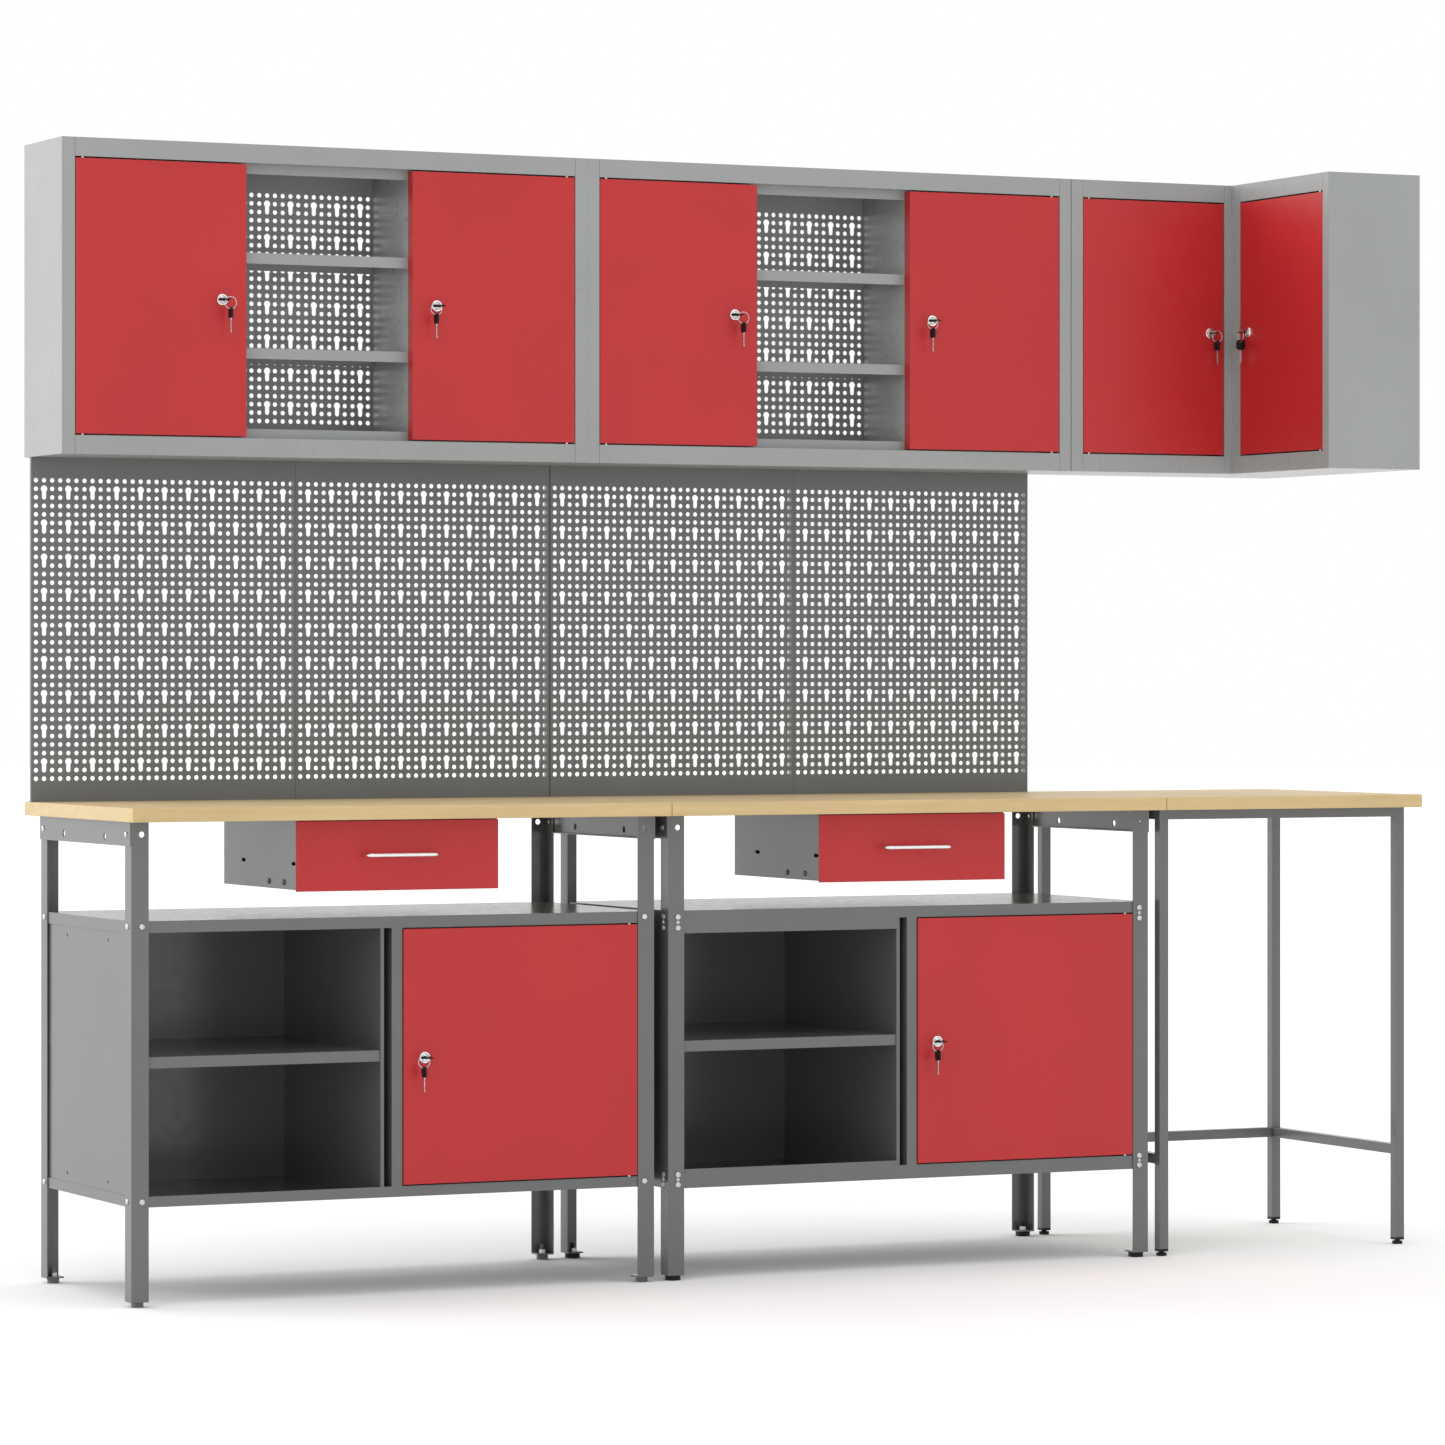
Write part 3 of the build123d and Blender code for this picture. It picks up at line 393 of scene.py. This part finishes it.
def add_piece(name, points, faces, slot, body, smooth=False):
    """A mesh piece in the row's own frame that rides on a body and takes its finish from a slot."""
    mesh = bpy.data.meshes.new(name)
    mesh.from_pydata([tuple(point) for point in points], [], faces)
    mesh.validate()
    work = bmesh.new()
    work.from_mesh(mesh)
    bmesh.ops.recalc_face_normals(work, faces=work.faces)
    work.to_mesh(mesh)
    work.free()
    if smooth:
        mesh.polygons.foreach_set("use_smooth", [True] * len(mesh.polygons))
        mesh.set_sharp_from_angle(angle=math.radians(SMOOTH_ANGLE))
    mesh.materials.append(SLOTS[slot])
    piece = bpy.data.objects.new(name, mesh)
    bpy.context.scene.collection.objects.link(piece)
    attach(piece, body)
    return piece


class Shell:
    """Points and faces of several closed forms that make one piece."""

    def __init__(self):
        self.points = []
        self.faces = []

    def add(self, points, faces):
        """Add a form."""
        start = len(self.points)
        self.points += points
        self.faces += [tuple(start + corner for corner in face) for face in faces]
        return self

    def placed(self, place):
        """The points moved by a matrix."""
        return [place @ Vector(point) for point in self.points]


def circle(radius, segments, centre=(0, 0), start=0.0, turn=2 * math.pi, closed=True):
    """Points on a circle or an arc."""
    steps = segments if closed else segments - 1
    angles = [start + turn * step / steps for step in range(segments)]
    return [(centre[0] + radius * math.cos(a), centre[1] + radius * math.sin(a)) for a in angles]


def lathe(profile, segments=40):
    """A form turned about the Y axis from (radius, y) pairs; a closed form starts and ends at 0."""
    points = []
    rings = []
    for radius, depth in profile:
        if radius == 0:
            rings.append([len(points)] * segments)
            points.append((0, depth, 0))
        else:
            rings.append([len(points) + step for step in range(segments)])
            points += [(x, depth, z) for x, z in circle(radius, segments)]
    faces = []
    for first, second in zip(rings, rings[1:]):
        for step in range(segments):
            after = (step + 1) % segments
            corners = [first[step], first[after], second[after], second[step]]
            face = tuple(dict.fromkeys(corners))
            if len(face) > 2:
                faces.append(face)
    return points, faces


def tube_ring(profile, segments=40):
    """A ring turned about the Y axis from a closed (radius, y) profile."""
    points, faces = lathe(profile + profile[:1], segments)
    count = len(profile) * segments
    return points[:count], [tuple(corner % count for corner in face) for face in faces]


def plate(outline, low, high, ease, across, hole=()):
    """A flat plate with eased edges and at most one hole. Its outline lies square to the axis across."""
    work = bmesh.new()
    axis = "xyz".index(across)
    shift = [0, 0, 0]
    shift[axis] = high - low

    def place(a, b):
        """A point of the outline on the plate's low side."""
        point = [a, b]
        point.insert(axis, low)
        return point

    if hole:
        edges = []
        for loop in (outline, hole):
            corners = [work.verts.new(place(a, b)) for a, b in loop]
            edges += [work.edges.new(pair) for pair in zip(corners, corners[1:] + corners[:1])]
        bmesh.ops.triangle_fill(work, edges=edges)
    else:
        work.faces.new([work.verts.new(place(a, b)) for a, b in outline])
    grown = bmesh.ops.extrude_face_region(work, geom=list(work.faces))
    moved = [item for item in grown["geom"] if isinstance(item, bmesh.types.BMVert)]
    bmesh.ops.translate(work, verts=moved, vec=shift)
    bmesh.ops.recalc_face_normals(work, faces=work.faces)
    sharp = [edge for edge in work.edges if edge.calc_face_angle(0) > math.radians(SHARP_ANGLE)]
    bmesh.ops.bevel(work, geom=sharp, offset=ease, segments=2, profile=0.5, affect="EDGES")
    work.verts.index_update()
    points = [tuple(vertex.co) for vertex in work.verts]
    faces = [tuple(vertex.index for vertex in face.verts) for face in work.faces]
    work.free()
    return points, faces


def torus(major, minor, centre, along=36, around=10):
    """A wire ring in the XZ plane."""
    points = []
    for x, z in circle(1, along):
        for out, depth in circle(minor, around):
            points.append((centre[0] + x * (major + out), centre[1] + depth, centre[2] + z * (major + out)))
    faces = []
    for step in range(along):
        for side in range(around):
            after = (step + 1) % along
            beside = (side + 1) % around
            faces.append((step * around + side, after * around + side, after * around + beside,
                          step * around + beside))
    return points, faces


# ---------------------------------------------------------------- perforated sheets

def plain_hole():
    """Outline of a round hole about its cell's centre."""
    return circle(HOLE_RADIUS, HOLE_SEGMENTS)


def keyhole():
    """Outline of a keyhole about its upper cell's centre: a round mouth with a slot below it."""
    meet = math.asin(KEYHOLE_SLOT / KEYHOLE_RADIUS)
    mouth = circle(KEYHOLE_RADIUS, KEYHOLE_SEGMENTS, start=-math.pi / 2 + meet, turn=2 * math.pi - 2 * meet,
                   closed=False)
    foot = circle(KEYHOLE_SLOT, SLOT_SEGMENTS, (0, -PITCH), start=math.pi, turn=math.pi, closed=False)
    return mouth + foot


def cell_pattern(outline, rows):
    """Border, hole and triangles of one cell that is one or two rows high."""
    half = PITCH / 2
    lowest = half - rows * PITCH
    border = [(-half, half), (half, half)]
    border += [(half, half - row * PITCH) for row in range(1, rows)]
    border += [(half, lowest), (-half, lowest)]
    border += [(-half, half - row * PITCH) for row in range(rows - 1, 0, -1)]
    loops = [[Vector((x, z, 0)) for x, z in border], [Vector((x, z, 0)) for x, z in outline]]
    return border, outline, [tuple(face) for face in tessellate_polygon(loops)]


CELLS = {1: cell_pattern(plain_hole(), 1), 2: cell_pattern(keyhole(), 2)}


class Sheet(Shell):
    """A perforated sheet in XZ between two depths, whose cells share their corners."""

    def __init__(self, front, back):
        super().__init__()
        self.depths = (front, back)
        self.known = {}

    def corner(self, x, z):
        """Index of the front point at x, z; the back point follows it."""
        key = (round(x, 6), round(z, 6))
        if key not in self.known:
            self.known[key] = len(self.points)
            self.points += [(x, depth, z) for depth in self.depths]
        return self.known[key]

    def cell(self, x, z, rows):
        """A cell with a hole; x, z is the centre of its top row."""
        border, outline, triangles = CELLS[rows]
        front = [self.corner(x + a, z + b) for a, b in border]
        hole = []
        for a, b in outline:
            hole.append(len(self.points))
            self.points += [(x + a, depth, z + b) for depth in self.depths]
        corners = front + hole
        for triangle in triangles:
            self.faces.append(tuple(corners[index] for index in triangle))
            self.faces.append(tuple(corners[index] + 1 for index in reversed(triangle)))
        for here, there in zip(hole, hole[1:] + hole[:1]):
            self.faces.append((here, there, there + 1, here + 1))

    def blank(self, x0, x1, z0, z1):
        """A plain piece of sheet."""
        corners = [self.corner(x, z) for x, z in ((x0, z0), (x1, z0), (x1, z1), (x0, z1))]
        self.faces.append(tuple(corners))
        self.faces.append(tuple(corner + 1 for corner in reversed(corners)))

    def edge(self, line):
        """The sheet's cut edge along a line of front points."""
        for (xa, za), (xb, zb) in zip(line, line[1:]):
            here = self.corner(xa, za)
            there = self.corner(xb, zb)
            self.faces.append((here, there, there + 1, here + 1))


def perforated(x0, x1, z0, z1, front, back, grid):
    """A sheet with a grid of holes at its middle, and a keyhole at regular columns and rows."""
    columns, rows = grid
    left = (x0 + x1 - columns * PITCH) / 2
    top = (z0 + z1 + rows * PITCH) / 2
    xs = [x0] + [left + column * PITCH for column in range(columns + 1)] + [x1]
    zs = [z1] + [top - row * PITCH for row in range(rows + 1)] + [z0]
    sheet = Sheet(front, back)
    for column in range(-1, columns + 1):
        for row in range(-1, rows + 1):
            if not (0 <= column < columns and 0 <= row < rows):
                sheet.blank(xs[column + 1], xs[column + 2], zs[row + 2], zs[row + 1])
                continue
            centre = (xs[column + 1] + PITCH / 2, zs[row + 1] - PITCH / 2)
            place = row % KEYHOLE_EVERY_ROWS if column % KEYHOLE_EVERY_COLUMNS == 1 else 0
            if place == 1:
                sheet.cell(*centre, 2)
            elif place != 2:
                sheet.cell(*centre, 1)
    sheet.edge([(x, z1) for x in xs])
    sheet.edge([(x, z0) for x in xs])
    sheet.edge([(x0, z) for z in zs])
    sheet.edge([(x1, z) for z in zs])
    return sheet


def fold(x0, x1, y0, y1, z0, z1):
    """A folded edge of a sheet, with eased arrises."""
    return plate([(x0, y0), (x1, y0), (x1, y1), (x0, y1)], z0, z1, FOLD_EASE, "z")


def wall_panels():
    """Two perforated wall panels behind each bench, folded back at their edges."""
    low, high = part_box("perforated_panels")
    bench_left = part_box("worktops")[0].x
    margin = low.x - bench_left
    bench = (high.x + margin - bench_left) / BENCHES
    width = (bench - 2 * margin - PANEL_GAP) / PANELS_PER_BENCH
    front = low.y
    sheet_back = front + SHEET_STEEL
    for number in range(BENCHES * PANELS_PER_BENCH):
        in_row, in_bench = divmod(number, PANELS_PER_BENCH)
        x0 = bench_left + margin + in_row * bench + in_bench * (width + PANEL_GAP)
        x1 = x0 + width
        sheet = perforated(x0, x1, low.z, high.z, front, sheet_back, WALL_PANEL_GRID)
        inner = (x0 + SHEET_STEEL, x1 - SHEET_STEEL)
        sheet.add(*fold(inner[1], x1, sheet_back, front + FOLD_RIGHT, low.z, high.z))
        sheet.add(*fold(x0, inner[0], sheet_back, front + FOLD_LEFT, low.z, high.z))
        sheet.add(*fold(*inner, sheet_back, front + FOLD_ENDS, low.z, low.z + SHEET_STEEL))
        sheet.add(*fold(*inner, sheet_back, front + FOLD_ENDS, high.z - SHEET_STEEL, high.z))
        name = f"perforated_panel_{number + 1}"
        add_piece(name, sheet.points, sheet.faces, "paint_grey", "station")
    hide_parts("perforated_panels")


def bay_backs():
    """Perforated sheets behind the open bays of the two wall cabinets."""
    low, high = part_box("wall_cabinet_backs")
    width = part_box("left_wall_door_right")[0].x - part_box("left_wall_door_left")[1].x
    for number, x0 in enumerate((low.x, high.x - width), 1):
        sheet = perforated(x0, x0 + width, low.z, high.z, low.y, high.y, BAY_BACK_GRID)
        name = f"bay_back_{number}"
        add_piece(name, sheet.points, sheet.faces, "paint_light_grey", "station")
    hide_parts("wall_cabinet_backs")


# ---------------------------------------------------------------- locks and keys

def rounded_outline(width, height, radius, centre, steps=6):
    """A rounded rectangle's outline."""
    points = []
    for quadrant, (sx, sy) in enumerate(((1, 1), (-1, 1), (-1, -1), (1, -1))):
        corner = (centre[0] + sx * (width / 2 - radius), centre[1] + sy * (height / 2 - radius))
        points += circle(radius, steps, corner, quadrant * math.pi / 2, math.pi / 2, closed=False)
    return points


def toothed_blade(root, tip, half_width):
    """A key blade's outline from root to tip, with a row of cuts along one edge."""
    length = tip - root
    points = [(root, half_width), (tip - TIP_SLOPE * length, half_width), (tip, TIP_HEIGHT * half_width),
              (tip - NOSE_LENGTH * length, NOSE_HEIGHT * half_width)]
    for cut, depth in enumerate(CUT_DEPTHS):
        share = FIRST_CUT - cut * CUT_SPAN / len(CUT_DEPTHS)
        points.append((root + share * length, -half_width))
        points.append((root + (share - CUT_SLOPE) * length, -depth * half_width))
        points.append((root + (share - CUT_END) * length, -depth * half_width))
    points.append((root, -half_width))
    return points


def rosette_and_barrel():
    """Stepped chrome rosette with the threaded barrel behind it."""
    bore = PLUG_RADIUS + PLUG_PLAY
    profile = [(bore, BARREL_TAIL - BARREL_LIP), (bore, -ROSETTE_HEIGHT + MOUTH_DEPTH),
               (bore + MOUTH_WIDTH, -ROSETTE_HEIGHT)]
    profile += [(ROSETTE_RADIUS - inward, -ROSETTE_HEIGHT + down) for inward, down in ROSETTE_RIM]
    profile += [(ROSETTE_RADIUS, -ROSETTE_FOOT), (ROSETTE_RADIUS, 0.0), (BARREL_RADIUS, 0.0)]
    for step in range(THREAD_STEPS):
        depth = THREAD_START + (BARREL_TAIL - THREAD_START) * step / THREAD_STEPS
        profile.append((BARREL_RADIUS - THREAD_DEPTH * (step % 2), depth))
    profile += [(BARREL_RADIUS - BARREL_CHAMFER, BARREL_TAIL), (bore, BARREL_TAIL)]
    return tube_ring(profile)


def barrel_nut():
    """Hexagon nut that holds the barrel behind the door."""
    bore = BARREL_RADIUS + NUT_PLAY
    front = DOOR_THICKNESS + NUT_PLAY
    profile = [(NUT_RADIUS, front), (NUT_RADIUS, BARREL_TAIL - NUT_CHAMFER_DEPTH),
               (NUT_RADIUS - NUT_CHAMFER_WIDTH, BARREL_TAIL), (bore, BARREL_TAIL), (bore, front)]
    return tube_ring(profile, NUT_SIDES)


def spare_head(x, y):
    """Moulded head of the hanging key, a rounded plate with a hole for the ring, and its lowest level."""
    length = KEY_END - KEY_NECK
    top = SPARE_HOLE_EDGE - SPARE_HOLE_DROP
    low = top - length
    outline = rounded_outline(HEAD_WIDTH, length, HEAD_CORNER, (y, (top + low) / 2))
    hole = circle(SPARE_HOLE_RADIUS, SPARE_HOLE_SEGMENTS, (y, -SPARE_HOLE_DROP))
    half = SPARE_HEAD_THICKNESS / 2
    return Shell().add(*plate(outline, x - half, x + half, SPARE_HEAD_EASE, "x", hole)), low


def spare_blade(x, y, low):
    """Steel blade of the hanging key, pointing down."""
    blade = toothed_blade(-BLADE_ROOT, BLADE_LENGTH, BLADE_HALF_WIDTH)
    outline = [(y + across, low - along) for along, across in blade]
    return plate(outline, x - BLADE_HALF_THICKNESS, x + BLADE_HALF_THICKNESS, BLADE_EASE, "x")


def lock_pieces(name, door, place, side, stand):
    """Fixed pieces of a lock: rosette and barrel, nut, and the ring whose key hangs towards a side."""
    x = side * RING_SHIFT
    barrel = Shell().add(*rosette_and_barrel())
    piece = add_piece(f"{name}_barrel", barrel.placed(place), barrel.faces, "chrome_plate", door, smooth=True)
    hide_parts(name)
    head, low = spare_head(x, -stand)
    add_piece(f"{name}_spare_head", head.placed(place), head.faces, "black_plastic", door, smooth=True)
    steel = Shell().add(*torus(RING_RADIUS, RING_WIRE, (x, -stand, -RING_DROP)))
    steel.add(*spare_blade(x, -stand, low)).add(*barrel_nut())
    add_piece(f"{name}_ring_and_blade", steel.placed(place), steel.faces, "zinc_steel", door, smooth=True)


def key_head(stand, end):
    """Moulded head of the key in the lock, thinner round the hole that the ring runs through."""
    depth = end - KEY_NECK
    outline = rounded_outline(HEAD_WIDTH, depth, HEAD_CORNER, (0, -KEY_NECK - depth / 2))
    hole = circle(KEY_HOLE_RADIUS, KEY_HOLE_SEGMENTS, (0, -stand))
    shell = Shell().add(*plate(outline, -HEAD_THICKNESS / 2, HEAD_THICKNESS / 2, HEAD_EASE, "z", hole))
    depth = stand - KEY_HOLE_RADIUS - HOLE_MARGIN - KEY_NECK
    if depth > 0:
        outline = rounded_outline(HEAD_WIDTH, depth, depth / 3, (0, -KEY_NECK - depth / 2))
        shell.add(*plate(outline, -SHOULDER_THICKNESS / 2, SHOULDER_THICKNESS / 2, SHOULDER_EASE, "z"))
    return shell


def plug():
    """Chrome plug with a shallow recess in its face."""
    face = -PLUG_PROUD
    return lathe([(0, CAM_START), (PLUG_RADIUS, CAM_START), (PLUG_RADIUS, face + PLUG_CHAMFER),
                  (PLUG_RADIUS - PLUG_CHAMFER, face), (PLUG_RIM_RADIUS, face),
                  (PLUG_FACE_RADIUS, face + PLUG_RECESS), (0.0, face + PLUG_RECESS)])


def blade_neck():
    """The steel between the key's head and the plug."""
    near = -KEY_NECK - BLADE_INTO_HEAD
    far = -PLUG_PROUD + BLADE_SHORT_OF_PLUG
    outline = [(-BLADE_HALF_WIDTH, near), (BLADE_HALF_WIDTH, near), (BLADE_HALF_WIDTH, far),
               (-BLADE_HALF_WIDTH, far)]
    return plate(outline, -BLADE_HALF_THICKNESS, BLADE_HALF_THICKNESS, BLADE_EASE, "z")


def cam():
    """Flat steel tongue with round ends, pointing up."""
    outline = circle(CAM_HALF_WIDTH, CAM_SEGMENTS, (0, CAM_REACH), 0, math.pi, closed=False)
    outline += circle(CAM_HALF_WIDTH, CAM_SEGMENTS, (0, 0), math.pi, math.pi, closed=False)
    return plate(outline, CAM_START, CAM_END, CAM_EASE, "y")


def cam_screw():
    """Screw with a round recess that holds the cam on the plug."""
    return lathe([(radius, CAM_END + height) for radius, height in CAM_SCREW], CAM_SCREW_SEGMENTS)


def key_pieces(name, place, stand, end):
    """Turning pieces of a lock, which ride on the key's own body: plug, inserted key and cam."""
    turned = Shell().add(*plug())
    piece = add_piece(f"{name}_plug", turned.placed(place), turned.faces, "chrome_plate", name, smooth=True)
    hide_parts(name)
    head = key_head(stand, end)
    add_piece(f"{name}_head", head.placed(place), head.faces, "black_plastic", name, smooth=True)
    steel = Shell().add(*blade_neck()).add(*cam()).add(*cam_screw())
    add_piece(f"{name}_blade_and_cam", steel.placed(place), steel.faces, "zinc_steel", name, smooth=True)


def locks():
    """Every lock, at the axis of its key's joint.

    The axis of a key points into its door or out of it, and its sign says to which side of the lock
    the door's free edge lies. The spare key hangs towards that edge.
    """
    door_of = {joint["child"]: joint["parent"] for joint in frame["joints"]}
    lock_of = {}
    for body, nodes in frame["record"]["behaviour"]["bodies"].items():
        for node in nodes:
            if "_lock" in node:
                lock_of[body] = node
    for joint in frame["joints"]:
        if "_key" not in joint["name"]:
            continue
        into = Vector([abs(part) for part in joint["axis"]])
        up = Vector((0, 0, 1))
        aside = into.cross(up)
        turn = Matrix((aside, into, up)).transposed().to_4x4()
        place = Matrix.Translation(joint["pos_m"]) @ turn
        door = door_of[joint["child"]]
        side = 1 if sum(joint["axis"]) > 0 else -1
        corner = door.startswith("corner")
        stand = CORNER_RING_STAND if corner else RING_STAND
        end = CORNER_KEY_END if corner else KEY_END
        lock_pieces(lock_of[door], door, place, side, stand)
        key_pieces(joint["child"], place, stand, end)


# ---------------------------------------------------------------- stage

def stage_floor():
    """A large pale floor of rings about the origin."""
    points = [(0, 0, 0)]
    for radius in FLOOR_RINGS:
        points += [(x, y, 0) for x, y in circle(radius, FLOOR_SEGMENTS)]
    faces = [(0, 1 + step, 1 + (step + 1) % FLOOR_SEGMENTS) for step in range(FLOOR_SEGMENTS)]
    for ring in range(len(FLOOR_RINGS) - 1):
        inner = 1 + ring * FLOOR_SEGMENTS
        outer = inner + FLOOR_SEGMENTS
        for step in range(FLOOR_SEGMENTS):
            after = (step + 1) % FLOOR_SEGMENTS
            faces.append((inner + step, outer + step, outer + after, inner + after))
    mesh = bpy.data.meshes.new("studio_floor")
    mesh.from_pydata(points, [], faces)
    mesh.materials.append(floor_material())
    floor = bpy.data.objects.new("studio_floor", mesh)
    bpy.context.scene.collection.objects.link(floor)


def sun(name, towards, strength, spread):
    """Even light that travels along a direction, softened by its spread in degrees."""
    light = bpy.data.lights.new(name, "SUN")
    light.energy = strength
    light.angle = math.radians(spread)
    holder = bpy.data.objects.new(name, light)
    holder.rotation_euler = Vector(towards).to_track_quat("-Z", "Y").to_euler()
    bpy.context.scene.collection.objects.link(holder)


def studio():
    """White surroundings, with even soft light from the left, from behind and from above."""
    world = bpy.data.worlds.new("studio")
    world.use_nodes = True
    background = world.node_tree.nodes["Background"]
    background.inputs["Color"].default_value = (1, 1, 1, 1)
    background.inputs["Strength"].default_value = 1.0
    bpy.context.scene.world = world
    bpy.context.scene.view_settings.view_transform = "Standard"
    for name, (towards, strength, spread) in SUNS.items():
        sun(name, towards, strength, spread)


def camera():
    """Level camera at the left of the front, far enough back for a long lens."""
    data = bpy.data.cameras.new("camera")
    data.sensor_width = SENSOR_WIDTH
    data.lens = LENS
    data.shift_y = LENS_SHIFT
    data.dof.use_dof = False
    data.clip_end = FARTHEST_SEEN
    holder = bpy.data.objects.new("camera", data)
    low, high = CAD_BOX
    middle = (low[0] + high[0]) / 2
    x, y, z = CAMERA_PLACE
    holder.location = (middle + x, y, z)
    holder.rotation_euler = (math.radians(90), 0, math.radians(CAMERA_TURN))
    bpy.context.scene.collection.objects.link(holder)
    bpy.context.scene.camera = holder


paint_cad_nodes()
wall_panels()
bay_backs()
locks()
stage_floor()
studio()
camera()
